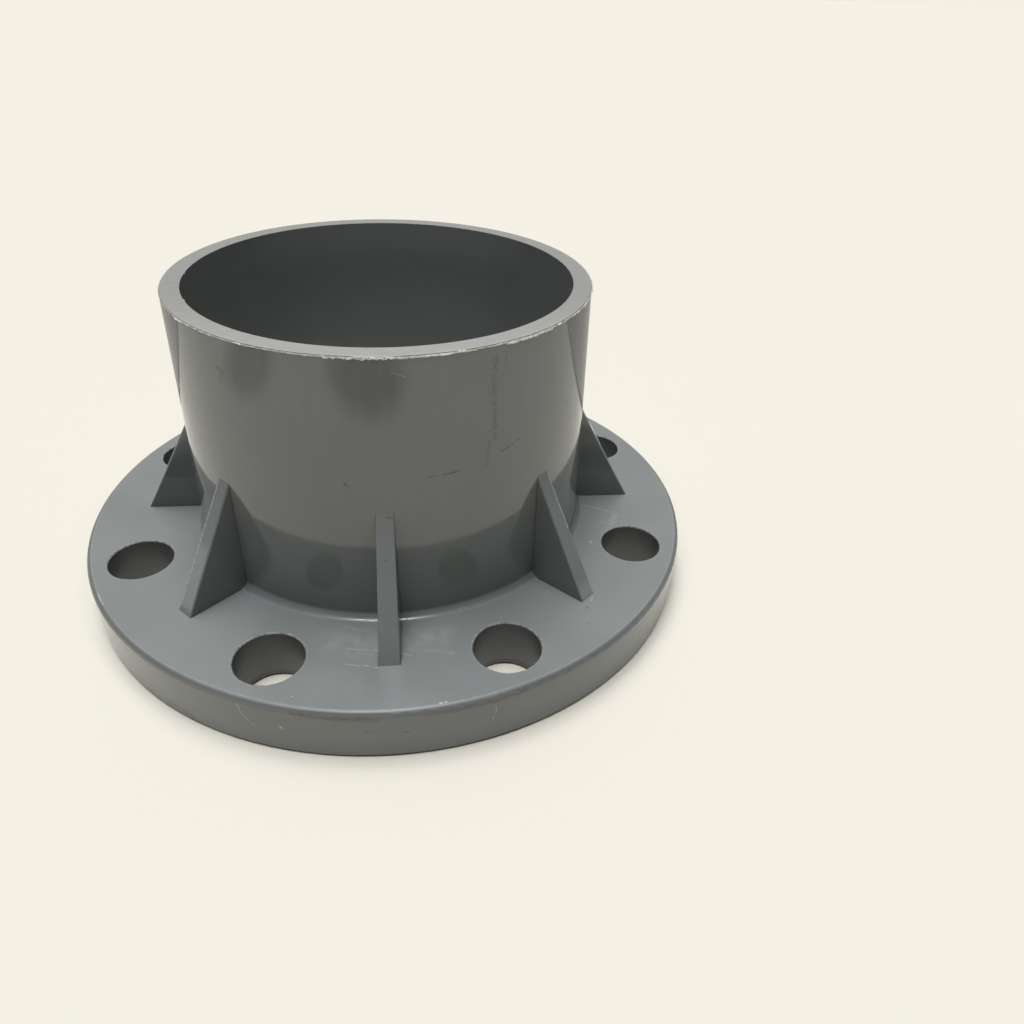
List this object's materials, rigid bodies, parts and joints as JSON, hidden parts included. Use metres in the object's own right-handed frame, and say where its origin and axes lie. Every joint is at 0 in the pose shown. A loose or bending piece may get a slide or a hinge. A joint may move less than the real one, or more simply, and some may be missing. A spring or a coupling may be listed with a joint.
{
  "type": "pipe flange",
  "caption": "Moulded plastic socket flange: flat drilled ring, plain barrel socket for a cemented pipe end, and triangular gusset ribs between the bolt holes.",
  "frame": {"origin": "centre of the flat sealing face on the underside of the ring", "axes": "+Z along the barrel axis towards the socket mouth; one gusset rib on -Y"},
  "size_m": [0.248, 0.248, 0.119],
  "materials": {
    "grey_upvc": "semi-gloss moulded grey"
  },
  "bodies": {
    "root": {"socket_flange": "grey_upvc"}
  },
  "joints": []
}
